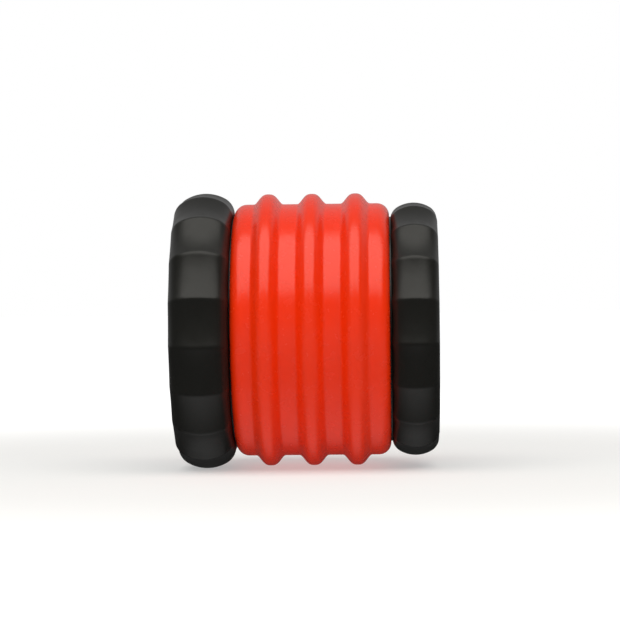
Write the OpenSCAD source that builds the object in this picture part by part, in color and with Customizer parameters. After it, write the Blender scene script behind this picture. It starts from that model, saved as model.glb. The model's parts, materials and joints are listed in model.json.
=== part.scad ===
// Barrel diabolo: a ribbed rubber barrel that spins on two ball bearings,
// clamped between two scalloped rubber rims on one axle. The spin axis is X.

/* [Barrel] */
// Diameter over the three ribs
rib_d = 99.8; // [96:0.2:104]
// How far the ribs stand proud of the barrel
rib_h = 3.7; // [3:0.1:4]
// Length of the barrel between its end faces
barrel_len = 56.6; // [55.4:0.2:60]
// Distance from one rib to the next
rib_pitch = 15.9; // [15:0.1:16.4]
// Radius of a rib's crest
rib_crest_r = 4.0; // [3.6:0.1:4.2]
// Radius where a rib runs into the barrel
rib_root_r = 3.0; // [2.4:0.1:3.2]
// Slope of a rib's flanks, in degrees
rib_slope = 52; // [48:1:56]
// Radius of the barrel's shoulders
shoulder_r = 4.5; // [3.5:0.1:4.8]

/* [Rims] */
// Diameter over the ridges of the large rim
large_rim_d = 101.6; // [98:0.1:106]
// Width of the large rim
large_rim_w = 21.3; // [20.5:0.1:23]
// Diameter over the ridges of the small rim
small_rim_d = 93.2; // [92:0.1:97]
// Width of the small rim
small_rim_w = 17.1; // [17:0.1:19]
// Number of finger scallops round each rim
scallops = 18; // [16:1:20]
// Depth of a scallop below its ridges
scallop_depth = 1.6; // [1.2:0.1:2.2]
// Turn of the scallops about the axle, in degrees
scallop_turn = 6.5; // [0:0.1:20]

/* [Axle] */
// Diameter of the axle, which the bearings fit
axle_d = 8; // [8:8]
// Gap between the turning barrel and each rim
running_gap = 0.4; // [0.3:0.05:0.6]

/* [Hidden] */
$fn = 96;
eps = 0.01;

// Where things lie along the axle. s is counted from the middle of the barrel.
barrel_x = (large_rim_w - small_rim_w) / 2;
rim_s = barrel_len / 2 + running_gap;
valley_r = rib_d / 2 - rib_h;

// Drum that carries the sleeve
drum_r = 42;
drum_wall = 3;
lip_t = 2.5;
lip_in_r = 37;
plate_s = barrel_len / 2 - lip_t;
plate_t = 3;
hub_r = 15;
hub_in_r = 12;
spigot_len = 2;
spigot_t = 1.5;
spigot_play = 0.1;
spoke_t = 2;
spokes = 6;

// Screws that hold the drum halves together
screws = 4;
screw_pcr = 28;
boss_r = 5;
screw_head_r = 2.8;
screw_head_h = 2.2;
screw_r = 1.5;
screw_len = 16;
screw_seat_s = 6;
screw_well_r = 3.1;
screw_clear_r = 1.7;

// Ball bearing, 8 by 22 by 7
bearing_r = 11;
bearing_w = 7;
inner_land_r = 6.05;
outer_land_r = 9;
race_play = 0.01;
ball_r = 1.9845;
ball_pcr = 7.5;
groove_r = 2.05;
balls = 7;
cage_in_r = 6.9;
cage_out_r = 8.1;
cage_w = 5.2;
pocket_r = 2.1;
shield_t = 0.4;
shield_seat_r = 9.6;
shield_in_r = 6.45;
shield_s = 2.9;
bearing_s = plate_s - bearing_w / 2;
seat_shoulder_r = 9.4;
seat_shoulder_t = 2;

// Axle hardware
spacer_r = 6;
bore_gap = 0.05;
disc_s = rim_s + 0.2;
disc_hub_len = 7.5;
disc_hub_r = 11;
washer_r = 8;
washer_t = 1.6;
nut_af = 13;
nut_h = 6.5;
nut_s = disc_s + disc_hub_len + washer_t;
axle_small_end = nut_s + nut_h + 0.5;
axle_large_end = nut_s + nut_h + 4.5;
axle_chamfer = 0.6;
stub_r = 3.5;
stub_len = 4.1;

// Cup discs and the rims' seats
disc_t = 3;
flange_r = 38;
flange_t = 3;
rim_lip_r = 35.6;
rim_lip_t = 1.5;
rim_front_lip_t = 4;
disc_ribs = 9;
disc_rib_t = 2;
disc_rib_h = 4;

// Land on each rim's inner face, and the recess in the end of the sleeve that it runs in,
// which leave no straight way through the running gap
land_inset = 0.5;
land_play = 0.3;
land_in_r = 36.4;
land_r = valley_r - shoulder_r - land_inset;
land_h = 0.6;
land_root = 0.2;
recess_r = land_r + land_play;

// Crown of the tread, as a share of the rim's width, and the stock the scallops are cut from
crown_share = 0.525;
scallop_stock = 0.6;

// A point list along an arc, angles in degrees
function arc(c, r, from, to, n = 12) =
    [for (i = [0 : n]) let (a = from + (to - from) * i / n) c + r * [cos(a), sin(a)]];

// Stands a shape made about Z on the spin axis, with Z pointing along X
module on_axis(s = 0) {
    translate([barrel_x + s, 0, 0]) rotate([0, 90, 0]) children();
}

// Places what is drawn for the large side, or its mirror image for the small side
module at_side(large) {
    if (large) on_axis() mirror([0, 0, 1]) children();
    else on_axis() children();
}

// ---- Barrel ----

// Half of a rib's outline, in [along, out] from the rib's middle on the barrel's surface
function rib_half() =
    let (
        flank = rib_h - (rib_crest_r + rib_root_r) * (1 - cos(rib_slope)),
        root_x = (rib_crest_r + rib_root_r) * sin(rib_slope) + flank / tan(rib_slope)
    )
    concat(
        arc([0, rib_h - rib_crest_r], rib_crest_r, 90, 90 - rib_slope, 8),
        arc([root_x, rib_root_r], rib_root_r, 270 - rib_slope, 270, 6)
    );

function rib_outline(s) =
    let (half = rib_half(), n = len(half) - 1)
    concat(
        [for (i = [n : -1 : 1]) [valley_r + half[i][1], s - half[i][0]]],
        [for (p = half) [valley_r + p[1], s + p[0]]]
    );

// Sleeve with three ribs outside, a lip over each end of the drum, and a recess for each land
module ribbed_sleeve() {
    end = barrel_len / 2;
    corner = [valley_r - shoulder_r, end - shoulder_r];
    outer = concat(
        arc([corner[0], -corner[1]], shoulder_r, -90, 0, 8),
        rib_outline(-rib_pitch), rib_outline(0), rib_outline(rib_pitch),
        arc(corner, shoulder_r, 0, 90, 8)
    );
    recess = end - land_h;
    inner = [
        [recess_r, end], [recess_r, recess], [lip_in_r, recess], [lip_in_r, plate_s], [drum_r, plate_s],
        [drum_r, -plate_s], [lip_in_r, -plate_s], [lip_in_r, -recess], [recess_r, -recess], [recess_r, -end]
    ];
    color("orangered") on_axis() rotate_extrude($fn = 180) polygon(concat(outer, inner));
}

// ---- Drum ----

// One half of the drum, on the +Z side: rim wall, end plate, hub, spokes and screw bosses
module drum_half_shell(spigot) {
    difference() {
        union() {
            rotate_extrude() difference() {
                translate([hub_in_r, 0]) square([drum_r - hub_in_r, plate_s]);
                translate([hub_r, -eps]) square([drum_r - drum_wall - hub_r, plate_s - plate_t + eps]);
            }
            translate([0, 0, bearing_s - bearing_w / 2 - seat_shoulder_t])
                cylinder(r = hub_r - 1, h = bearing_w + seat_shoulder_t);
            for (i = [0 : spokes - 1])
                rotate(i * 360 / spokes + 15) translate([hub_r - 1, -spoke_t / 2, 0.2])
                    cube([drum_r - drum_wall - hub_r + 2, spoke_t, plate_s - plate_t]);
            for (i = [0 : screws - 1])
                rotate(i * 360 / screws) translate([screw_pcr, 0, 0])
                    cylinder(r = boss_r, h = plate_s - plate_t + 1);
            if (spigot) translate([0, 0, -spigot_len]) difference() {
                cylinder(r = drum_r - drum_wall + spigot_t, h = spigot_len + 1);
                translate([0, 0, -eps]) cylinder(r = drum_r - drum_wall, h = spigot_len + 1 + 2 * eps);
            }
        }
        translate([0, 0, bearing_s - bearing_w / 2]) cylinder(r = bearing_r, h = bearing_w + 1);
        translate([0, 0, -1]) cylinder(r = seat_shoulder_r, h = plate_s);
        if (!spigot) rotate_extrude() translate([drum_r - drum_wall - 1, -1])
            square([spigot_t + 1 + spigot_play, spigot_len + 1 + spigot_play]);
    }
}

module large_side_drum_half() {
    color("dimgray") at_side(true) difference() {
        drum_half_shell(true);
        for (i = [0 : screws - 1])
            rotate(i * 360 / screws) translate([screw_pcr, 0, -eps])
                cylinder(r = screw_r, h = screw_len - screw_seat_s + 1);
    }
}

module small_side_drum_half() {
    color("dimgray") at_side(false) difference() {
        drum_half_shell(false);
        for (i = [0 : screws - 1]) rotate(i * 360 / screws) translate([screw_pcr, 0, 0]) {
            translate([0, 0, -1]) cylinder(r = screw_clear_r, h = screw_seat_s + 1 + eps);
            translate([0, 0, screw_seat_s]) cylinder(r = screw_well_r, h = plate_s);
        }
    }
}

module drum_screws() {
    color("silver") on_axis() for (i = [0 : screws - 1])
        rotate(i * 360 / screws) translate([screw_pcr, 0, screw_seat_s]) difference() {
            union() {
                cylinder(r = screw_head_r, h = screw_head_h);
                translate([0, 0, -screw_len]) cylinder(r = screw_r, h = screw_len + eps);
            }
            translate([0, 0, screw_head_h - 1.2]) cylinder(r = 1.3, h = 2, $fn = 6);
        }
}

// ---- Bearings ----

// What is drawn about Z at a bearing's middle, on the large or the small side
module at_bearing(large) {
    at_side(large) translate([0, 0, bearing_s]) children();
}

module race_groove() {
    rotate_extrude() translate([ball_pcr, 0]) circle(r = groove_r);
}

module inner_race(large) {
    color("silver") at_bearing(large) difference() {
        cylinder(r = inner_land_r, h = bearing_w, center = true);
        cylinder(r = axle_d / 2 + race_play, h = bearing_w + 1, center = true);
        race_groove();
    }
}

module outer_race(large) {
    color("silver") at_bearing(large) difference() {
        cylinder(r = bearing_r, h = bearing_w, center = true);
        cylinder(r = outer_land_r, h = bearing_w + 1, center = true);
        for (end = [-1, 1]) translate([0, 0, end * (shield_s + 1)])
            cylinder(r = shield_seat_r, h = 2, center = true);
        race_groove();
    }
}

module ball_ring(large) {
    color("gainsboro") at_bearing(large) for (i = [0 : balls - 1])
        rotate(i * 360 / balls) translate([ball_pcr, 0, 0]) sphere(r = ball_r, $fn = 48);
}

module ball_cage(large) {
    color("goldenrod") at_bearing(large) difference() {
        cylinder(r = cage_out_r, h = cage_w, center = true);
        cylinder(r = cage_in_r, h = cage_w + 1, center = true);
        for (i = [0 : balls - 1])
            rotate(i * 360 / balls) translate([cage_in_r - 1, 0, 0]) rotate([0, 90, 0])
                cylinder(r = pocket_r, h = cage_out_r - cage_in_r + 2, $fn = 48);
    }
}

module shields(large) {
    color("gray") at_bearing(large) for (end = [-1, 1])
        translate([0, 0, end * (shield_s + shield_t / 2)]) difference() {
            cylinder(r = shield_seat_r, h = shield_t, center = true);
            cylinder(r = shield_in_r, h = shield_t + 1, center = true);
        }
}

// ---- Axle and what is threaded on it ----

module axle() {
    color("silver") on_axis(-axle_large_end) rotate_extrude() polygon([
        [0, 0], [stub_r - axle_chamfer, 0], [stub_r, axle_chamfer],
        [stub_r, stub_len], [axle_d / 2, stub_len + axle_d / 2 - stub_r],
        [axle_d / 2, axle_large_end + axle_small_end - axle_chamfer],
        [axle_d / 2 - axle_chamfer, axle_large_end + axle_small_end],
        [0, axle_large_end + axle_small_end]
    ]);
}

// A plain ring on the axle
module axle_ring(r, h) {
    difference() {
        cylinder(r = r, h = h);
        translate([0, 0, -1]) cylinder(r = axle_d / 2 + bore_gap, h = h + 2);
    }
}

module bearing_spacer() {
    half = bearing_s - bearing_w / 2;
    color("lightsteelblue") on_axis(-half) axle_ring(spacer_r, 2 * half);
}

module collar(large) {
    color("lightsteelblue") at_side(large) translate([0, 0, plate_s]) axle_ring(spacer_r, disc_s - plate_s);
}

module washer(large) {
    color("silver") at_side(large) translate([0, 0, nut_s - washer_t]) axle_ring(washer_r, washer_t);
}

// Hexagon nut with both ends of its corners turned off
module nut(large) {
    corner_r = nut_af / 2 / cos(30);
    cut = 0.6;
    color("silver") at_side(large) translate([0, 0, nut_s]) difference() {
        intersection() {
            cylinder(r = corner_r, h = nut_h, $fn = 6);
            rotate_extrude() polygon([
                [0, 0], [corner_r - cut * 1.7, 0], [corner_r, cut], [corner_r, nut_h - cut],
                [corner_r - cut * 1.7, nut_h], [0, nut_h]
            ]);
        }
        translate([0, 0, -1]) cylinder(r = axle_d / 2 + bore_gap, h = nut_h + 2);
    }
}

// ---- Cups ----

// Dished disc of one cup: hub, web, flange with its rim seat, and stiffening ribs
module cup_disc(large) {
    w = large ? large_rim_w : small_rim_w;
    hub_z = disc_s;
    web_z = rim_s + rim_lip_t;
    flange_end = rim_s + w - rim_front_lip_t;
    in_r = flange_r - flange_t;
    fillet = 4;
    web = concat(
        [
            [axle_d / 2 + bore_gap, hub_z], [disc_hub_r, hub_z], [flange_r - 3, web_z],
            [flange_r, web_z], [flange_r, flange_end], [in_r, flange_end]
        ],
        arc([in_r - fillet, web_z + disc_t + fillet], fillet, 0, -90, 6),
        [
            [disc_hub_r + 2, hub_z + disc_t], [disc_hub_r, hub_z + disc_t + 2],
            [disc_hub_r, hub_z + disc_hub_len], [axle_d / 2 + bore_gap, hub_z + disc_hub_len]
        ]
    );
    color("#2a2a28") at_side(large) {
        union() {
            rotate_extrude() polygon(web);
            for (i = [0 : disc_ribs - 1]) rotate(i * 360 / disc_ribs)
                translate([0, disc_rib_t / 2, 0]) rotate([90, 0, 0]) linear_extrude(disc_rib_t)
                    polygon([
                        [disc_hub_r - 1, hub_z + 1], [in_r + 1, web_z + 1],
                        [in_r + 1, web_z + disc_t + disc_rib_h], [disc_hub_r + 12, web_z + disc_t + 1.2],
                        [disc_hub_r - 1, hub_z + disc_t + disc_rib_h]
                    ]);
        }
    }
}

// Section of a rim before its scallops are cut: a plain tyre over a lipped seat
module rim_section(r, w) {
    polygon([
        [rim_lip_r, 0], [r + scallop_stock, 0], [r + scallop_stock, w], [rim_lip_r, w],
        [rim_lip_r, w - rim_front_lip_t], [flange_r, w - rim_front_lip_t],
        [flange_r, rim_lip_t], [rim_lip_r, rim_lip_t]
    ]);
}

// Tool that cuts one scallop together with the crown of the tread. It is a short arc of a
// waisted roller standing outside the rim, placed so that neighbours meet on the ridge radius.
module scallop_cutter(r, w) {
    valley = r * (1 - scallop_depth * 2 / large_rim_d);
    stand = (r * r - valley * valley) / (2 * (r * cos(180 / scallops) - valley));
    roller = stand - valley;
    reach = asin(r * sin(180 / scallops) / roller) + 2.5;
    crown = crown_share * w;
    translate([stand, 0, w / 2]) rotate(180 - reach)
        rotate_extrude(angle = 2 * reach, $fn = 180) difference() {
            translate([roller - scallop_stock - 2, -w / 2 - 0.3])
                square([scallop_stock + 2 + crown, w + 0.6]);
            translate([roller + crown, 0]) circle(r = crown, $fn = 120);
        }
}

// Scalloped rim with its round land
module rim(large) {
    r = (large ? large_rim_d : small_rim_d) / 2;
    w = large ? large_rim_w : small_rim_w;
    color("#1c1c1a") at_side(large) translate([0, 0, rim_s]) union() {
        difference() {
            rotate_extrude() rim_section(r, w);
            for (i = [0 : scallops - 1])
                rotate(scallop_turn + i * 360 / scallops) scallop_cutter(r, w);
        }
        rotate_extrude() translate([land_in_r, -land_h])
            square([land_r - land_in_r, land_h + land_root]);
    }
}

rim(true);  // large_rim
rim(false);  // small_rim
cup_disc(true);  // large_cup_disc
cup_disc(false);  // small_cup_disc
ribbed_sleeve();
large_side_drum_half();
small_side_drum_half();
drum_screws();
axle();
bearing_spacer();
collar(true);  // large_side_collar
collar(false);  // small_side_collar
washer(true);  // large_side_washer
washer(false);  // small_side_washer
nut(true);  // large_side_nut
nut(false);  // small_side_nut
inner_race(true);  // large_side_inner_race
outer_race(true);  // large_side_outer_race
ball_ring(true);  // large_side_balls
ball_cage(true);  // large_side_ball_cage
shields(true);  // large_side_shields
inner_race(false);  // small_side_inner_race
outer_race(false);  // small_side_outer_race
ball_ring(false);  // small_side_balls
ball_cage(false);  // small_side_ball_cage
shields(false);  // small_side_shields
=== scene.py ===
# %% [markdown]
# # A barrel diabolo
# The prop is a drum of ribbed red rubber that spins on ball bearings between two black rubber
# rims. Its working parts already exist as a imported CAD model, which is the fixed frame here.
# This lesson dresses that frame: each visible piece gets a finer mesh and a finish of its own.
# Everything is in metres, with the spin axis along X.

# %% Load the frame
import json
import math

import bmesh
import bpy
from mathutils import Matrix, Vector


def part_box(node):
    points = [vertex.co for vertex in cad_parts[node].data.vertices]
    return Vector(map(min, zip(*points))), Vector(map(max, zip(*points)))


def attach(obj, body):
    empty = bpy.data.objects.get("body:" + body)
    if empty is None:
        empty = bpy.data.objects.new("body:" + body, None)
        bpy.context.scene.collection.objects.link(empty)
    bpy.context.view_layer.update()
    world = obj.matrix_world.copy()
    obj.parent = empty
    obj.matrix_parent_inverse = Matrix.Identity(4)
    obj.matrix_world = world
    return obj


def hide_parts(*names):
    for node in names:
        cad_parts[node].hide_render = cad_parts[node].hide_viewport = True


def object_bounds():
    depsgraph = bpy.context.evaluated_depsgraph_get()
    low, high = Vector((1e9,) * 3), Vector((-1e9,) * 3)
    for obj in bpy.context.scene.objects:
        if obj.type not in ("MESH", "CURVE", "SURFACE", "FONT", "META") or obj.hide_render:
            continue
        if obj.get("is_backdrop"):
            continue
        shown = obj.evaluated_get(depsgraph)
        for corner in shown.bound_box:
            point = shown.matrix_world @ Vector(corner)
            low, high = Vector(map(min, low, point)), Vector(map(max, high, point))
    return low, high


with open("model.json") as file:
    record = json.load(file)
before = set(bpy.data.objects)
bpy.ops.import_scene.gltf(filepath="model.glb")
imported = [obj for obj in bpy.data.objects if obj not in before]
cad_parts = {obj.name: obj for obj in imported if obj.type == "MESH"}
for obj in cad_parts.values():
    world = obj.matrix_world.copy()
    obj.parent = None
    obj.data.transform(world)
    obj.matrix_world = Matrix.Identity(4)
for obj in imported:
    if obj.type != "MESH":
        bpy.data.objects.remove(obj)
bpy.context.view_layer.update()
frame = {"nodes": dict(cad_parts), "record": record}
mm = 0.001

# %% [markdown]
# ## Measuring from the frame
# The place and the radius of each node are read from the CAD model, so the looks can't drift away
# from the working part. A node's box gives its place along the axle, and its farthest vertex gives
# the radius that it turns through.

# %% Read the sizes
def along(node):
    low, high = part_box(node)
    return low.x, high.x


def reach(node):
    return max(math.hypot(v.co.y, v.co.z) for v in frame["nodes"][node].data.vertices)


sleeve_from, sleeve_to = along("ribbed_sleeve")
rib_radius = reach("ribbed_sleeve")
axle_radius = reach("axle")
for name in ("large_rim", "small_rim", "ribbed_sleeve", "axle"):
    print(name, "radius in mm:", round(reach(name) / mm, 2))

# %% [markdown]
# ## A small kit for Geometry Nodes
# Nearly every piece here is turned about the axle, so one rule makes most of them: take a closed
# outline and sweep it round. Writing node trees by hand is wordy, so five helpers keep it short.
# Three add a node, a Math node and a Map Range node. The other two start a tree with named inputs
# and close it, which makes its copies real and gives them their finish.

# %% Node helpers
def add_node(tree, kind, inputs=None, **settings):
    made = tree.nodes.new(kind)
    for key, value in settings.items():
        setattr(made, key, value)
    for socket, value in (inputs or {}).items():
        if isinstance(value, bpy.types.NodeSocket):
            tree.links.new(value, made.inputs[socket])
        else:
            made.inputs[socket].default_value = value
    return made


def maths(tree, operation, *values):
    inputs = dict(enumerate(values))
    return add_node(tree, "ShaderNodeMath", inputs, operation=operation).outputs[0]


def ramp(tree, value, from_range, to_range=(0.0, 1.0), **settings):
    inputs = {
        "Value": value,
        "From Min": from_range[0],
        "From Max": from_range[1],
        "To Min": to_range[0],
        "To Max": to_range[1],
    }
    return add_node(tree, "ShaderNodeMapRange", inputs, **settings).outputs[0]


def new_tree(name, sizes):
    tree = bpy.data.node_groups.new(name, "GeometryNodeTree")
    face = tree.interface
    face.new_socket("Geometry", in_out="INPUT", socket_type="NodeSocketGeometry")
    for size in sizes:
        face.new_socket(size, in_out="INPUT", socket_type="NodeSocketFloat")
    face.new_socket("Count", in_out="INPUT", socket_type="NodeSocketInt")
    face.new_socket("Finish", in_out="INPUT", socket_type="NodeSocketMaterial")
    face.new_socket("Geometry", in_out="OUTPUT", socket_type="NodeSocketGeometry")
    start = add_node(tree, "NodeGroupInput").outputs
    return tree, start


def close_tree(tree, start, geometry):
    real = add_node(tree, "GeometryNodeRealizeInstances", {0: geometry}).outputs[0]
    done = add_node(
        tree, "GeometryNodeSetMaterial", {"Geometry": real, "Material": start["Finish"]}
    )
    add_node(tree, "NodeGroupOutput", {0: done.outputs[0]})
    return tree


# %% [markdown]
# ## From a node tree to a plain mesh
# The finished piece has to be an ordinary mesh, so the modifier's result is read back, its
# doubled points are merged and its faces are turned outwards. Edges sharper than a limit keep a
# hard line, and everything else is shaded smooth.

# %% Bake a tree into a piece
def set_inputs(modifier, values):
    for item in modifier.node_group.interface.items_tree:
        if item.item_type == "SOCKET" and item.in_out == "INPUT" and item.name in values:
            modifier[item.identifier] = values[item.name]


def tidy_mesh(mesh, sharp_degrees=35):
    work = bmesh.new()
    work.from_mesh(mesh)
    bmesh.ops.remove_doubles(work, verts=work.verts, dist=1e-6)
    bmesh.ops.dissolve_degenerate(work, edges=work.edges, dist=1e-7)
    loose = [v for v in work.verts if not v.link_faces]
    bmesh.ops.delete(work, geom=loose, context="VERTS")
    bmesh.ops.recalc_face_normals(work, faces=work.faces)
    for face in work.faces:
        face.smooth = True
    limit = math.radians(sharp_degrees)
    for edge in work.edges:
        edge.smooth = len(edge.link_faces) == 2 and edge.calc_face_angle() < limit
    work.to_mesh(mesh)
    work.free()


def grow(name, seed, tree, values, sharp_degrees=35):
    bpy.context.scene.collection.objects.link(seed)
    modifier = seed.modifiers.new("shape", "NODES")
    modifier.node_group = tree
    set_inputs(modifier, values)
    bpy.context.view_layer.update()
    graph = bpy.context.evaluated_depsgraph_get()
    mesh = bpy.data.meshes.new_from_object(seed.evaluated_get(graph))
    seed.modifiers.remove(modifier)
    bpy.data.objects.remove(seed)
    mesh.name = name
    tidy_mesh(mesh, sharp_degrees)
    piece = bpy.data.objects.new(name, mesh)
    bpy.context.scene.collection.objects.link(piece)
    size = [round(d / mm, 1) for d in piece.dimensions]
    print(name, "faces:", len(mesh.polygons), "size in mm:", size)
    return piece


def settle(piece, body, slot, *nodes):
    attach(piece, body)
    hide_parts(*nodes)


# %% [markdown]
# ## Outlines with rounded corners
# A turned part is drawn as half a section: corners given as distance along the axle, distance
# out from it, and the radius that rounds the corner. Moulded and machined edges are never
# perfectly sharp, and the round is what catches a thin line of light.

# %% Rounded outline
def rounded(corners, steps=6):
    points = []
    for i, (x, out, radius) in enumerate(corners):
        here = Vector((x, out))
        back = (Vector(corners[i - 1][:2]) - here).normalized()
        ahead = (Vector(corners[(i + 1) % len(corners)][:2]) - here).normalized()
        if radius == 0:
            points.append(here)
            continue
        half = back.angle(ahead) / 2
        centre = here + (back + ahead).normalized() * radius / math.sin(half)
        first = here + back * radius / math.tan(half) - centre
        last = here + ahead * radius / math.tan(half) - centre
        sweep = -first.angle_signed(last)
        for k in range(steps + 1):
            points.append(centre + Matrix.Rotation(sweep * k / steps, 2) @ first)
    return points


def section(name, points):
    mesh = bpy.data.meshes.new(name)
    edges = [(i, (i + 1) % len(points)) for i in range(len(points))]
    mesh.from_pydata([(p[0], 0, p[1]) for p in points], edges, [])
    return bpy.data.objects.new(name, mesh)


# %% [markdown]
# ## The turning tree
# Screw and Spin can sweep an outline, but they can't change its radius on the way round. Here a
# flat grid is bent instead: each column is one copy of the outline, set at its own angle, and a
# rule may carve the radius as a function of that angle. The same tree then makes plain rings,
# scalloped rims, hexagon nuts and threads, with only the rule changed.

# %% Turning tree
def turning_tree(name, sizes=(), carve=None):
    tree, start = new_tree(name, sizes)
    points = add_node(
        tree, "GeometryNodeAttributeDomainSize", {0: start["Geometry"]}, component="MESH"
    ).outputs["Point Count"]
    rows = maths(tree, "ADD", points, 1.0)
    columns = maths(tree, "ADD", start["Count"], 1.0)
    grid = add_node(
        tree, "GeometryNodeMeshGrid", {"Vertices X": columns, "Vertices Y": rows}
    ).outputs["Mesh"]
    index = add_node(tree, "GeometryNodeInputIndex").outputs[0]
    column = maths(tree, "FLOOR", maths(tree, "DIVIDE", index, rows))
    row = maths(tree, "MODULO", maths(tree, "MODULO", index, rows), points)
    place = add_node(tree, "GeometryNodeInputPosition").outputs[0]
    sample = add_node(
        tree,
        "GeometryNodeSampleIndex",
        {"Geometry": start["Geometry"], "Index": row},
        data_type="FLOAT_VECTOR",
    )
    value = next(s for s in sample.inputs if s.name == "Value" and s.enabled)
    tree.links.new(place, value)
    point = next(s for s in sample.outputs if s.enabled)
    parts = add_node(tree, "ShaderNodeSeparateXYZ", {0: point}).outputs
    share = maths(tree, "DIVIDE", column, start["Count"])
    angle = maths(tree, "MULTIPLY", share, math.tau)
    radius = carve(tree, start, angle, parts["X"], parts["Z"]) if carve else parts["Z"]
    side = maths(tree, "MULTIPLY", radius, maths(tree, "SINE", angle))
    down = maths(tree, "MULTIPLY", radius, maths(tree, "COSINE", angle))
    up = maths(tree, "MULTIPLY", down, -1.0)
    bent = add_node(
        tree, "ShaderNodeCombineXYZ", {"X": parts["X"], "Y": side, "Z": up}
    ).outputs[0]
    turned = add_node(
        tree, "GeometryNodeSetPosition", {"Geometry": grid, "Position": bent}
    ).outputs[0]
    return close_tree(tree, start, turned)


plain_turning = turning_tree("Plain turning")
print("nodes in the turning tree:", len(plain_turning.nodes))

# %% [markdown]
# ## Finishes
# Rubber, moulded plastic and metal differ less in colour than in how they break up light. Each
# finish is a Principled shader with three layers of noise on the object's own coordinates: a slow
# drift of shade, a finer drift of roughness, and a grain that bumps the surface. The two drifts
# are counted in repeats per metre and the grain in millimetres, so all keep their real scale.

# %% Finish helper
drift_scale = 60.0
patch_scale = 240.0
patch_contrast = (0.3, 0.7)


def finish(name, shade, deeper, rough, grain, bump, metal=0.0, specular=0.5, stretch=None):
    material = bpy.data.materials.new(name)
    material.use_nodes = True
    tree = material.node_tree
    shader = tree.nodes["Principled BSDF"]
    shader.inputs["Metallic"].default_value = metal
    shader.inputs["Specular IOR Level"].default_value = specular
    place = add_node(tree, "ShaderNodeTexCoord").outputs["Object"]
    if stretch:
        place = add_node(
            tree, "ShaderNodeMapping", {"Vector": place, "Scale": stretch}
        ).outputs[0]
    drift = add_node(
        tree, "ShaderNodeTexNoise", {"Vector": place, "Scale": drift_scale, "Detail": 4.0}
    ).outputs[0]
    colour = add_node(tree, "ShaderNodeMix", {0: drift}, data_type="RGBA")
    colour.inputs["A"].default_value = (*shade, 1)
    colour.inputs["B"].default_value = (*deeper, 1)
    tree.links.new(colour.outputs["Result"], shader.inputs["Base Color"])
    patches = add_node(
        tree, "ShaderNodeTexNoise", {"Vector": place, "Scale": patch_scale, "Detail": 6.0}
    ).outputs[0]
    spread = ramp(tree, patches, patch_contrast, rough)
    tree.links.new(spread, shader.inputs["Roughness"])
    fine = add_node(
        tree, "ShaderNodeTexNoise", {"Vector": place, "Scale": 1 / grain, "Detail": 3.0}
    ).outputs[0]
    relief = add_node(
        tree,
        "ShaderNodeBump",
        {"Height": fine, "Distance": bump, "Strength": 1.0},
    ).outputs[0]
    tree.links.new(relief, shader.inputs["Normal"])
    print("finish", name, "grain in mm:", round(grain / mm, 2))
    return material


# %% [markdown]
# ## Rubber, plastic and metal
# The red rubber is a warm orange-red with a smooth moulded gloss. The black rubber is not a true
# black but a warm dark grey, a little less glossy. The grain of the steel is drawn out round the
# rod by squeezing the pattern along X.

# %% Make the finishes
red_rubber = finish(
    "red silicone rubber", (0.85, 0.030, 0.0012), (0.78, 0.025, 0.0010),
    (0.23, 0.29), 0.45 * mm, 0.012 * mm, specular=0.45,
)
black_rubber = finish(
    "black silicone rubber", (0.0105, 0.0105, 0.0090), (0.0080, 0.0080, 0.0070),
    (0.30, 0.37), 0.4 * mm, 0.014 * mm, specular=0.33,
)
black_plastic = finish(
    "textured black plastic", (0.016, 0.016, 0.015), (0.011, 0.011, 0.011),
    (0.46, 0.58), 0.6 * mm, 0.05 * mm, specular=0.45,
)
grey_plastic = finish(
    "moulded grey plastic", (0.12, 0.12, 0.12), (0.09, 0.09, 0.09),
    (0.45, 0.6), 0.8 * mm, 0.05 * mm,
)
plated_steel = finish(
    "zinc plated steel", (0.66, 0.66, 0.63), (0.52, 0.53, 0.52),
    (0.26, 0.4), 0.5 * mm, 0.008 * mm, metal=1.0, stretch=(6.0, 1.0, 1.0),
)
bright_steel = finish(
    "ground steel", (0.72, 0.72, 0.72), (0.62, 0.62, 0.63),
    (0.14, 0.24), 0.3 * mm, 0.003 * mm, metal=1.0, stretch=(8.0, 1.0, 1.0),
)
aluminium = finish(
    "turned aluminium", (0.78, 0.79, 0.80), (0.70, 0.71, 0.72),
    (0.25, 0.36), 0.3 * mm, 0.006 * mm, metal=1.0, stretch=(8.0, 1.0, 1.0),
)
brass = finish(
    "stamped brass", (0.76, 0.55, 0.25), (0.66, 0.45, 0.18),
    (0.25, 0.36), 0.5 * mm, 0.006 * mm, metal=1.0,
)

# %% [markdown]
# ## The ribbed barrel
# The barrel is one rubber sleeve with three round ribs. A rib's flanks swell out of the surface in
# one smooth wave, so it is written as a formula, a cosine bell, instead of being pieced together
# from arcs. A power on the distance widens the crest of the bell and steepens its flanks.

# %% Barrel outline
rib_height = 3.7 * mm
rib_reach = 5.4 * mm
rib_pitch = 15.9 * mm
rib_fullness = 1.47
shoulder = 4.5 * mm
bore_of_lip = 37 * mm
bore_of_sleeve = 42 * mm
lip = 2.5 * mm
barrel_middle = (sleeve_from + sleeve_to) / 2
barrel_radius = rib_radius - rib_height
land_inset = 0.5 * mm
land_play = 0.3 * mm
land_height = 0.6 * mm
land_radius = barrel_radius - shoulder - land_inset
recess_radius = land_radius + land_play
print("barrel radius between the ribs in mm:", round(barrel_radius / mm, 2))


def rib_rise(x):
    distance = min(abs(x - barrel_middle - i * rib_pitch) for i in (-1, 0, 1)) / rib_reach
    bell = 0.5 + 0.5 * math.cos(math.pi * min(distance, 1) ** rib_fullness)
    return rib_height * bell


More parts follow.
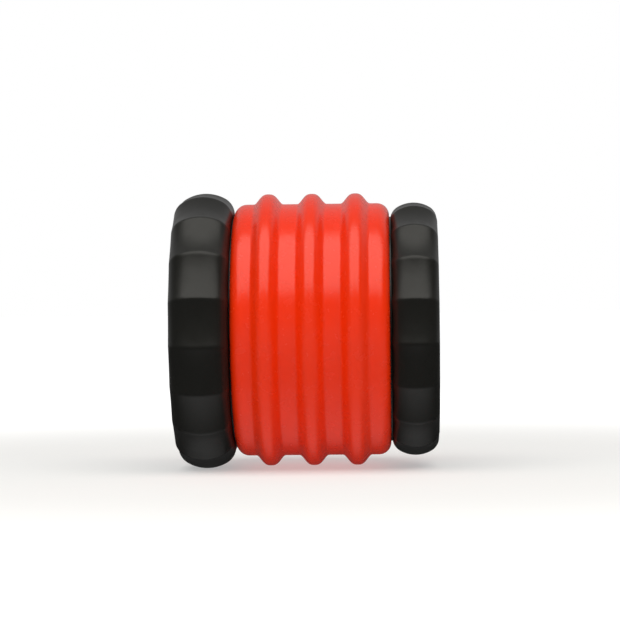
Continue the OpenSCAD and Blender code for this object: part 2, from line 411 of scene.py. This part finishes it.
def barrel_outline(step=0.3 * mm):
    corners = [
        (sleeve_to, barrel_radius, shoulder),
        (sleeve_to, recess_radius, 0.08 * mm),
        (sleeve_to - land_height, recess_radius, 0.2 * mm),
        (sleeve_to - land_height, bore_of_lip, 0.3 * mm),
        (sleeve_to - lip, bore_of_lip, 0.4 * mm),
        (sleeve_to - lip, bore_of_sleeve, 0),
        (sleeve_from + lip, bore_of_sleeve, 0),
        (sleeve_from + lip, bore_of_lip, 0.4 * mm),
        (sleeve_from + land_height, bore_of_lip, 0.3 * mm),
        (sleeve_from + land_height, recess_radius, 0.2 * mm),
        (sleeve_from, recess_radius, 0.08 * mm),
        (sleeve_from, barrel_radius, shoulder),
    ]
    first, last = sleeve_from + shoulder, sleeve_to - shoulder
    count = round((last - first) / step)
    stretch = [first + (last - first) * i / count for i in range(1, count)]
    return rounded(corners, steps=10) + [Vector((x, barrel_radius + rib_rise(x))) for x in stretch]


# %% Turn the barrel
barrel = grow(
    "ribbed_barrel",
    section("barrel section", barrel_outline()),
    plain_turning,
    {"Count": 256, "Finish": red_rubber},
)
settle(barrel, "drum", "red_rubber", "ribbed_sleeve")

# %% [markdown]
# ## The scalloped rims
# Each rim is a fat rubber tyre with a hollow scooped out for every fingertip. Picture a large
# roller laid beside the tyre, parallel to the axle: it presses one round hollow, and the next
# one along meets it in a ridge. The carving rule is the distance to that roller, so hollows and
# ridges follow the tyre's crown from edge to edge. A smooth minimum blunts each ridge slightly,
# because a moulded edge is never quite sharp. The small rim's hollows are shallower in proportion.

# %% Rule for the scallops
scallops = 18
scallop_turn = math.radians(6.5)
scallop_depth = 1.6 * mm
nominal_ridge = 50.8 * mm
scallop_share = scallop_depth / nominal_ridge
ridge_blunting = 0.035
steps_per_scallop = 36


def carve_scallops(tree, start, angle, x, radius):
    half = math.pi / scallops
    fold = maths(tree, "PINGPONG", maths(tree, "SUBTRACT", angle, start["Turn"]), half)
    mirror = maths(tree, "SUBTRACT", 2 * half, fold)
    blunt = maths(tree, "SMOOTH_MIN", fold, mirror, start["Ridge blunting"])
    run = maths(tree, "MULTIPLY", start["Roller distance"], maths(tree, "COSINE", blunt))
    ridge = maths(tree, "MULTIPLY", start["Roller distance"], 2 * math.cos(half))
    offset = maths(tree, "MULTIPLY", radius, maths(tree, "SUBTRACT", ridge, radius))
    under_root = maths(tree, "SUBTRACT", maths(tree, "MULTIPLY", run, run), offset)
    scooped = maths(tree, "SUBTRACT", run, maths(tree, "SQRT", under_root))
    amount = ramp(tree, radius, (start["Seat radius"], start["Edge radius"]))
    drop = maths(tree, "MULTIPLY", maths(tree, "SUBTRACT", scooped, radius), amount)
    return maths(tree, "ADD", radius, drop)


rim_sizes = ("Turn", "Ridge blunting", "Roller distance", "Seat radius", "Edge radius")
scalloped_turning = turning_tree("Scalloped turning", rim_sizes, carve_scallops)
print("nodes in the scalloped tree:", len(scalloped_turning.nodes))

# %% [markdown]
# ## The tyre's section
# The tread is a wide crown between two tighter corners, three arcs that run into each other
# without a kink. Below them the sides go straight down to the seat that holds the cup disc, with
# a thin lip on the barrel's side and a thick one at the open end.

# %% Tyre outline
crown_share = 0.676
corner_share = 0.324
seat_radius = 38 * mm
lip_radius = 35.6 * mm
barrel_lip = 1.5 * mm
open_lip = 4 * mm


def tread_arcs(width, ridge_radius, steps=14):
    crown = crown_share * width
    corner = corner_share * width
    dx = width / 2 - corner
    dy = math.sqrt((crown - corner) ** 2 - dx * dx)
    turn = math.atan2(dx, dy)
    centre = ridge_radius - crown
    points = []
    for k in range(steps + 1):
        a = math.pi / 2 + (turn - math.pi / 2) * k / steps
        points.append(Vector((dx + corner * math.sin(a), centre + dy + corner * math.cos(a))))
    for k in range(1, steps * 2):
        a = turn - turn * k / steps
        points.append(Vector((crown * math.sin(a), centre + crown * math.cos(a))))
    right = points[: steps + 1]
    points += [Vector((-p.x, p.y)) for p in reversed(right)]
    return points, centre + dy


def tyre_outline(width, ridge_radius, barrel_side):
    tread, edge = tread_arcs(width, ridge_radius)
    inner = barrel_side * width / 2
    outer = -inner
    seat = [
        (outer, lip_radius, 1.0 * mm),
        (outer + barrel_side * open_lip, lip_radius, 0.4 * mm),
        (outer + barrel_side * open_lip, seat_radius, 0),
        (inner - barrel_side * barrel_lip, seat_radius, 0),
        (inner - barrel_side * barrel_lip, lip_radius, 0.3 * mm),
        (inner, lip_radius, 0.3 * mm),
    ]
    if barrel_side < 0:
        seat.reverse()
    below = rounded([(seat[0][0], edge, 0), *seat, (seat[-1][0], edge, 0)])[1:-1]
    return tread + below, edge


# %% Turn the two rims
def make_rim(name, node, barrel_side):
    low, high = along(node)
    width = high - low - land_height
    ridge_radius = reach(node)
    outline, edge = tyre_outline(width, ridge_radius, barrel_side)
    middle = Vector(((low + high - barrel_side * land_height) / 2, 0))
    valley = ridge_radius * (1 - scallop_share)
    half = math.pi / scallops
    distance = (ridge_radius**2 - valley**2) / (2 * (ridge_radius * math.cos(half) - valley))
    values = {
        "Count": scallops * steps_per_scallop,
        "Finish": black_rubber,
        "Turn": scallop_turn,
        "Ridge blunting": ridge_blunting,
        "Roller distance": distance,
        "Seat radius": seat_radius,
        "Edge radius": edge,
    }
    seed = section(name + " section", [p + middle for p in outline])
    rim = grow(name, seed, scalloped_turning, values)
    settle(rim, "spindle", "black_rubber", node)


make_rim("large_scalloped_rim", "large_rim", 1)
make_rim("small_scalloped_rim", "small_rim", -1)

# %% [markdown]
# ## The lands
# A rim stands four tenths of a millimetre clear of the barrel, and light would shine straight
# through such a gap. So each rim has a raised land on its inner face, which runs in a shallow
# recess in the barrel's end and closes the view without touching. It stays a round ring while
# the tyre above it is scalloped, so it is turned as a piece of its own.

# %% Turn the lands
land_bore = 36.4 * mm
land_root = 0.2 * mm


def make_land(name, node, barrel_side):
    low, high = along(node)
    face = high if barrel_side > 0 else low
    root = face - barrel_side * (land_height + land_root)
    corners = [
        (root, land_bore, 0),
        (root, land_radius, 0.1 * mm),
        (face, land_radius, 0.2 * mm),
        (face, land_bore, 0.2 * mm),
    ]
    values = {"Count": 192, "Finish": black_rubber}
    land = grow(name, section(name + " section", rounded(corners, steps=3)), plain_turning, values)
    settle(land, "spindle", "black_rubber", node)


make_land("large_rim_land", "large_rim", 1)
make_land("small_rim_land", "small_rim", -1)

# %% [markdown]
# ## The cup discs
# Behind each rim sits a dished disc of textured plastic that carries it. The disc is a plain
# turning with generous fillets where the web meets the hub and the flange.

# %% Cup disc
bore_gap = 0.05 * mm
disc_wall = 3 * mm
hub_length = 7.5 * mm
hub_radius = 11 * mm
web_step = 1.3 * mm
bore_radius = axle_radius + bore_gap
flange_bore = seat_radius - disc_wall


def disc_planes(node, toward_barrel):
    low, high = along(node)
    hub, end = (low, high) if toward_barrel < 0 else (high, low)
    return hub, hub - toward_barrel * web_step, end


def disc_outline(node, toward_barrel):
    hub, web, end = disc_planes(node, toward_barrel)
    out = -toward_barrel
    return [
        (hub, bore_radius, 0.3 * mm),
        (hub, hub_radius, 0.5 * mm),
        (web, flange_bore, 2 * mm),
        (web, seat_radius, 0.4 * mm),
        (end, seat_radius, 0.4 * mm),
        (end, flange_bore, 0.8 * mm),
        (web + out * disc_wall, flange_bore, 4 * mm),
        (hub + out * disc_wall, hub_radius + 2 * mm, 1.5 * mm),
        (hub + out * (disc_wall + 1.5 * mm), hub_radius, 1.0 * mm),
        (hub + out * hub_length, hub_radius, 0.8 * mm),
        (hub + out * hub_length, bore_radius, 0.3 * mm),
    ]


# %% Turn the discs
toward_barrel = {"large": 1, "small": -1}
for side, toward in toward_barrel.items():
    node = side + "_cup_disc"
    disc = grow(
        side + "_dished_disc",
        section(side + " disc section", rounded(disc_outline(node, toward))),
        plain_turning,
        {"Count": 144, "Finish": black_plastic},
    )
    settle(disc, "spindle", "black_plastic", node)

# %% [markdown]
# ## Stiffening ribs
# Nine thin ribs run from the hub to the flange of each disc. One rib is drawn once as a bevelled
# plate, and a second small tree copies it round the axle. It makes a row of points with no
# spacing, so they all lie on the axle, places an instance on each and turns it a little further.

# %% Copying tree
def copying_tree():
    tree, start = new_tree("Copies round the axle", ("First angle",))
    points = add_node(
        tree, "GeometryNodeMeshLine", {"Count": start["Count"], "Offset": (0.0, 0.0, 0.0)}
    ).outputs[0]
    index = add_node(tree, "GeometryNodeInputIndex").outputs[0]
    share = maths(tree, "DIVIDE", index, start["Count"])
    angle = maths(tree, "ADD", maths(tree, "MULTIPLY", share, math.tau), start["First angle"])
    turn = add_node(tree, "ShaderNodeCombineXYZ", {"X": angle}).outputs[0]
    copies = add_node(
        tree,
        "GeometryNodeInstanceOnPoints",
        {"Points": points, "Instance": start["Geometry"], "Rotation": turn},
    ).outputs[0]
    return close_tree(tree, start, copies)


copies_round = copying_tree()
print("nodes in the copying tree:", len(copies_round.nodes))

# %% Rib plates
disc_ribs = 9
rib_thickness = 2 * mm
rib_stand = 4 * mm
rib_bevel = 0.35 * mm
rib_sunk = 1 * mm
rib_bite = 0.6 * mm
low_point = 12 * mm
low_stand = 1.2 * mm


def plate(name, outline, thickness, bevel):
    mesh = bpy.data.meshes.new(name)
    work = bmesh.new()
    base = [work.verts.new((p[0], -thickness / 2, -p[1])) for p in outline]
    face = work.faces.new(base)
    moved = bmesh.ops.extrude_face_region(work, geom=[face])["geom"]
    top = [v for v in moved if isinstance(v, bmesh.types.BMVert)]
    bmesh.ops.translate(work, verts=top, vec=(0, thickness, 0))
    bmesh.ops.recalc_face_normals(work, faces=work.faces)
    bmesh.ops.bevel(work, geom=work.edges, offset=bevel, segments=2, affect="EDGES")
    work.to_mesh(mesh)
    work.free()
    return bpy.data.objects.new(name, mesh)


def rib_outline(node, toward_barrel):
    hub, web = disc_planes(node, toward_barrel)[:2]
    out = -toward_barrel
    root = hub_radius - rib_sunk
    tip = flange_bore + rib_bite
    return [
        (hub + out * rib_sunk, root),
        (web + out * rib_sunk, tip),
        (web + out * (disc_wall + rib_stand), tip),
        (web + out * (disc_wall + low_stand), hub_radius + low_point),
        (hub + out * (disc_wall + rib_stand), root),
    ]


for side, toward in toward_barrel.items():
    node = side + "_cup_disc"
    seed = plate(side + " rib", rib_outline(node, toward), rib_thickness, rib_bevel)
    ribs = grow(
        side + "_disc_ribs",
        seed,
        copies_round,
        {"Count": disc_ribs, "First angle": 0.0, "Finish": black_plastic},
    )
    settle(ribs, "spindle", "black_plastic", node)

# %% [markdown]
# ## Nuts
# A hexagon nut is a turned blank with six flats milled on it. The carving rule is therefore the
# smaller of two radii: the turned outline, and the distance to the nearest flat. Where the flats
# meet the chamfer they leave the curved edges that every real nut has.

# %% Rule for the flats
def carve_flats(tree, start, angle, x, radius):
    sixth = math.pi / 6
    fold = maths(tree, "PINGPONG", angle, sixth)
    flat = maths(tree, "DIVIDE", start["Half width"], maths(tree, "COSINE", fold))
    return maths(tree, "SMOOTH_MIN", radius, flat, start["Edge blunting"])


hexagon_turning = turning_tree("Hexagon turning", ("Half width", "Edge blunting"), carve_flats)
print("nodes in the hexagon tree:", len(hexagon_turning.nodes))

# %% Turn the nuts
nut_flats = 13 * mm
nut_corner = nut_flats / 2 / math.cos(math.pi / 6)
edge_blunting = 0.3 * mm
chamfer = 0.6 * mm
drop = 1.7 * chamfer
bore_chamfer = 0.5 * mm


def nut_outline(low, high, step=0.25 * mm):
    count = round((high - low - 2 * chamfer) / step)
    wall = [low + chamfer + (high - low - 2 * chamfer) * i / count for i in range(count + 1)]
    slope = [0, 0.25, 0.5, 0.75]
    up = [Vector((low + chamfer * s, nut_corner - drop * (1 - s))) for s in slope]
    down = [Vector((high - chamfer * s, nut_corner - drop * (1 - s))) for s in reversed(slope)]
    face_high = [Vector((high, bore_radius + f * mm)) for f in (1.2, 0.5)]
    face_low = [Vector((low, bore_radius + f * mm)) for f in (0.5, 1.2)]
    bore = [
        Vector((high - bore_chamfer, bore_radius)),
        Vector((low + bore_chamfer, bore_radius)),
    ]
    return up + [Vector((x, nut_corner)) for x in wall] + down + face_high + bore + face_low


for side in toward_barrel:
    node = side + "_side_nut"
    nut = grow(
        side + "_hexagon_nut",
        section(side + " nut section", nut_outline(*along(node))),
        hexagon_turning,
        {
            "Count": 180,
            "Half width": nut_flats / 2,
            "Edge blunting": edge_blunting,
            "Finish": plated_steel,
        },
        sharp_degrees=28,
    )
    settle(nut, "spindle", "zinc_steel", node)

# %% [markdown]
# ## Washers
# A washer is a plain turning with small radii. Its outer edges are rounder than those of its
# hole.

# %% Turn the washers
for side in toward_barrel:
    node = side + "_side_washer"
    low, high = along(node)
    outer = reach(node)
    corners = [
        (low, bore_radius, 0.2 * mm),
        (low, outer, 0.35 * mm),
        (high, outer, 0.35 * mm),
        (high, bore_radius, 0.2 * mm),
    ]
    washer = grow(
        side + "_round_washer",
        section(side + " washer section", rounded(corners, steps=4)),
        plain_turning,
        {"Count": 96, "Finish": plated_steel},
    )
    settle(washer, "spindle", "zinc_steel", node)

# %% [markdown]
# ## The threaded axle
# Only the ends of the axle are threaded, and a plain stub is turned down at the large end. A
# thread is a groove whose depth depends on both the distance along the rod and the angle round
# it, so it is one more carving rule: a zigzag of distance over pitch plus one turn of angle.

# %% Rule for the thread
root_blunting = 0.08


def carve_thread(tree, start, angle, x, radius):
    turns = maths(tree, "DIVIDE", angle, math.tau)
    pitches = maths(tree, "DIVIDE", x, start["Pitch"])
    zigzag = maths(tree, "PINGPONG", maths(tree, "ADD", pitches, turns), 0.5)
    blunt = maths(tree, "SMOOTH_MAX", zigzag, root_blunting, root_blunting)
    groove = maths(tree, "MULTIPLY", maths(tree, "MULTIPLY", blunt, 2.0), start["Depth"])
    deep = maths(tree, "SUBTRACT", start["Rod radius"], groove)
    off_middle = maths(tree, "ABSOLUTE", maths(tree, "SUBTRACT", x, start["Middle"]))
    threaded = maths(tree, "GREATER_THAN", off_middle, start["Plain half"])
    past_stub = maths(tree, "GREATER_THAN", x, start["Stub end"])
    cut = maths(tree, "MINIMUM", maths(tree, "SUBTRACT", deep, radius), 0.0)
    here = maths(tree, "MULTIPLY", threaded, past_stub)
    return maths(tree, "ADD", radius, maths(tree, "MULTIPLY", cut, here))


thread_sizes = ("Pitch", "Depth", "Rod radius", "Middle", "Plain half", "Stub end")
threaded_turning = turning_tree("Threaded turning", thread_sizes, carve_thread)
print("nodes in the threaded tree:", len(threaded_turning.nodes))

# %% Turn the axle
axle_from, axle_to = along("axle")
stub_radius = 3.5 * mm
stub_length = 4.1 * mm
thread_pitch = 1.25 * mm
thread_depth = 0.6 * mm
thread_length = 12 * mm
thread_fade = 2 * mm
stub_margin = 0.05 * mm
thread_from = axle_from + stub_length + axle_radius - stub_radius
thread_to = axle_to - chamfer


def axle_outline(step=0.1 * mm):
    count = round(thread_length / step)
    near = [thread_from + step * i for i in range(count)]
    far = [thread_to - step * i for i in reversed(range(count))]
    slope = [0, 0.2, 0.4, 0.6, 0.8]
    stub = [
        Vector((axle_from, stub_radius - chamfer)),
        Vector((axle_from + chamfer, stub_radius)),
        Vector((axle_from + stub_length, stub_radius)),
    ]
    end = [
        Vector((axle_to - chamfer * s, axle_radius - chamfer * (1 - s))) for s in reversed(slope)
    ]
    centres = [Vector((axle_to, 0)), Vector((axle_from, 0))]
    return stub + [Vector((x, axle_radius)) for x in near + far] + end + centres


axle = grow(
    "threaded_axle",
    section("axle section", axle_outline()),
    threaded_turning,
    {
        "Count": 72,
        "Pitch": thread_pitch,
        "Depth": thread_depth,
        "Rod radius": axle_radius,
        "Middle": (thread_from + thread_to) / 2,
        "Plain half": (thread_to - thread_from) / 2 - thread_length + thread_fade,
        "Stub end": thread_from - stub_margin,
        "Finish": bright_steel,
    },
)
settle(axle, "spindle", "bright_steel", "axle")

# %% [markdown]
# ## Finishes for the working parts
# The drum, the bearings and the spacers stay as they are in the frame: their shapes are right,
# and they sit out of sight inside the barrel. They only need a finish, so that an exploded view
# or a cutaway shows real materials.

# %% Give the frame's own nodes their finishes
finish_of_slot = {
    "black_rubber": black_rubber,
    "black_plastic": black_plastic,
    "red_rubber": red_rubber,
    "grey_plastic": grey_plastic,
    "zinc_steel": plated_steel,
    "bright_steel": bright_steel,
    "aluminium": aluminium,
    "brass": brass,
}
for part in frame["record"]["subparts"]:
    node = frame["nodes"][part["node"]]
    node.data.materials.clear()
    node.data.materials.append(finish_of_slot[part["material_slot"]])

# %% [markdown]
# ## The floor
# The prop lies on a plain pale floor, like a sheet of white acrylic lit a little from below. It
# glows more with distance, as a lit sweep does, so its far edge melts into the white behind it
# and only the soft contact shadow shows. Mirror rays pass through it, because in a studio the
# table under such a shot is flagged off from the prop's glossy underside.

# %% Floor
floor_radius = 30
floor_grey = 0.55
glow_distance = (0.15, 0.6)
glow_strength = (0.4, 0.95)
low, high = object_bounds()
floor_mesh = bpy.data.meshes.new("floor")
work = bmesh.new()
bmesh.ops.create_circle(work, cap_ends=True, segments=128, radius=floor_radius)
bmesh.ops.translate(work, verts=work.verts, vec=(0, 0, low.z))
work.to_mesh(floor_mesh)
work.free()
floor = bpy.data.objects.new("floor", floor_mesh)
bpy.context.scene.collection.objects.link(floor)
floor_finish = bpy.data.materials.new("pale floor")
floor_finish.use_nodes = True
floor_shader = floor_finish.node_tree.nodes["Principled BSDF"]
floor_shader.inputs["Base Color"].default_value = (floor_grey, floor_grey, floor_grey, 1)
floor_shader.inputs["Roughness"].default_value = 0.9
floor_shader.inputs["Specular IOR Level"].default_value = 0.1
floor_shader.inputs["Emission Color"].default_value = (1, 1, 1, 1)
floor_tree = floor_finish.node_tree
floor_place = add_node(floor_tree, "ShaderNodeTexCoord").outputs["Object"]
distance_out = add_node(
    floor_tree, "ShaderNodeVectorMath", {0: floor_place}, operation="LENGTH"
).outputs["Value"]
floor_glow = ramp(
    floor_tree, distance_out, glow_distance, glow_strength, interpolation_type="SMOOTHSTEP"
)
floor_tree.links.new(floor_glow, floor_shader.inputs["Emission Strength"])
floor_mesh.materials.append(floor_finish)
floor.visible_glossy = False
floor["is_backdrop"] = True
print("floor at z in mm:", round(low.z / mm, 2))

# %% [markdown]
# ## Light
# One wide softbox hangs above and in front, which gives the broad pale band across the top of
# the barrel and leaves the face of the black rims dark. A second one in the same place only
# makes highlights, which strengthens the gloss without bleaching the colour. A low fill in front
# does the opposite: it lifts the colour of the face and leaves no highlight. No real lamp can be
# split like that, so this is a choice about the picture and is made with ray visibility. The
# studio itself is dim, and a little brighter behind the prop than in front. A glow straight below
# shows only in mirror rays, because they alone pass through the floor. What the camera sees
# directly behind the prop is plain white.

# %% Softbox
lamp_white = (1.0, 0.98, 0.92)


def aim(thing, place, target):
    thing.location = place
    thing.rotation_mode = "QUATERNION"
    thing.rotation_quaternion = (target - place).to_track_quat("-Z", "Y")


def softbox(name, radiance, elevation, distance, width, height):
    light = bpy.data.lights.new(name, "AREA")
    light.shape = "RECTANGLE"
    light.size = width
    light.size_y = height
    light.energy = radiance * math.pi * width * height
    light.color = lamp_white
    lamp = bpy.data.objects.new(name, light)
    bpy.context.scene.collection.objects.link(lamp)
    rise = math.radians(elevation)
    away = Vector((0, -math.cos(rise), math.sin(rise)))
    aim(lamp, away * distance, Vector((0, 0, 0)))
    print(name, "power in W:", round(light.energy, 1))
    return lamp


above_front = {"elevation": 64, "distance": 1.1, "width": 2.0, "height": 1.3}
low_front = {"elevation": 2, "distance": 1.3, "width": 2.0, "height": 0.9}
softbox("key softbox", radiance=2.15, **above_front)
shine = softbox("key shine", radiance=0.35, **above_front)
shine.visible_diffuse = False
fill = softbox("front fill", radiance=0.8, **low_front)
fill.visible_glossy = False

# %% World
front_to_back = (-0.1, 0.6)
horizon = (-0.12, 0.05)
toward_straight_down = (-0.7, -1.0)
wall_light = (0.07, 0.42)
below_light = (0.05, 0.6)
world = bpy.data.worlds.new("studio")
bpy.context.scene.world = world
world.use_nodes = True
tree = world.node_tree
tree.nodes.clear()
direction = add_node(tree, "ShaderNodeTexCoord").outputs["Generated"]
parts = add_node(tree, "ShaderNodeSeparateXYZ", {0: direction}).outputs
wall = ramp(tree, parts["Y"], front_to_back, wall_light)
above = ramp(tree, parts["Z"], horizon)
below = ramp(tree, parts["Z"], toward_straight_down, below_light)
glow = maths(tree, "MAXIMUM", maths(tree, "MULTIPLY", wall, above), below)
seen = add_node(tree, "ShaderNodeLightPath").outputs["Is Camera Ray"]
strength = maths(tree, "MAXIMUM", glow, seen)
sky = add_node(tree, "ShaderNodeBackground", {"Strength": strength, "Color": (1, 1, 1, 1)})
add_node(tree, "ShaderNodeOutputWorld", {0: sky.outputs[0]})
print("studio wall, darkest and brightest:", wall_light)

# %% [markdown]
# ## Camera
# The camera stands almost side on, a long lens about nine tenths of a metre away and a few
# millimetres above the axle. It stands a little towards the small end.

# %% Camera
camera_distance = 0.916
camera_azimuth = math.radians(1.85)
camera_rise = 7.15 * mm
camera_side = 0.92 * mm
camera_roll = math.radians(-0.617)
lens = 144.3
camera_data = bpy.data.cameras.new("camera")
camera_data.sensor_width = 36
camera_data.lens = lens
camera = bpy.data.objects.new("camera", camera_data)
bpy.context.scene.collection.objects.link(camera)
back = Vector((math.sin(camera_azimuth), -math.cos(camera_azimuth), 0))
right = Vector((math.cos(camera_azimuth), math.sin(camera_azimuth), 0))
target = right * camera_side + Vector((0, 0, camera_rise))
aim(camera, target + back * camera_distance, target)
camera.rotation_quaternion = camera.rotation_quaternion @ Matrix.Rotation(
    camera_roll, 3, "Z"
).to_quaternion()
bpy.context.scene.camera = camera
bpy.context.scene.view_settings.view_transform = "Standard"
print("camera at mm:", [round(c / mm, 1) for c in camera.location])

# %% Print the visual box
low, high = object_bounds()
print("visual box in mm:", [round((h - l) / mm, 2) for l, h in zip(low, high)])
